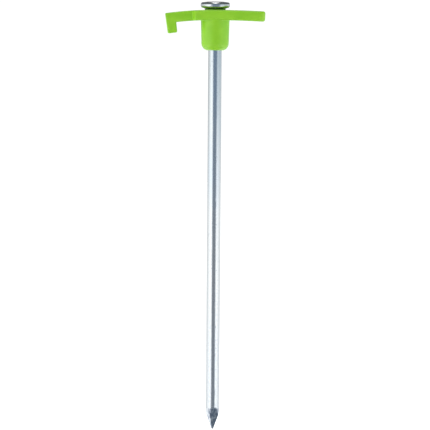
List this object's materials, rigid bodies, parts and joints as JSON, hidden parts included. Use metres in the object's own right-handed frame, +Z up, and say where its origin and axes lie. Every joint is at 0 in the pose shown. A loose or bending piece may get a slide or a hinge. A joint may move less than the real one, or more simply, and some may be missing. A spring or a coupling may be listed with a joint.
{
  "type": "tent stake",
  "caption": "Headed steel nail stake with a four-sided point, carrying a moulded plastic hook head that swivels on its shank under the nail's head.",
  "frame": {"origin": "the tip of the nail, on the shank's axis", "axes": "+Z up the shank to the nail's head; the hook head's bar along X with its hook at -X and its grip arm at +X; Y is the bar's depth, front to back"},
  "size_m": [0.0594, 0.0176, 0.254],
  "materials": {
    "galvanised_steel": "bright zinc plate over drawn and cold-headed wire, slightly uneven",
    "lime_plastic": "injection-moulded, coloured through, satin to gloss"
  },
  "bodies": {
    "nail": {"nail": "galvanised_steel"},
    "hook_head": {"hook_head": "lime_plastic"}
  },
  "joints": [
    {"name": "hook_swivel", "type": "hinge", "parent": "nail", "child": "hook_head", "pos_m": [0, 0, 0.2491], "axis": [0, 0, 1], "continuous": true}
  ]
}
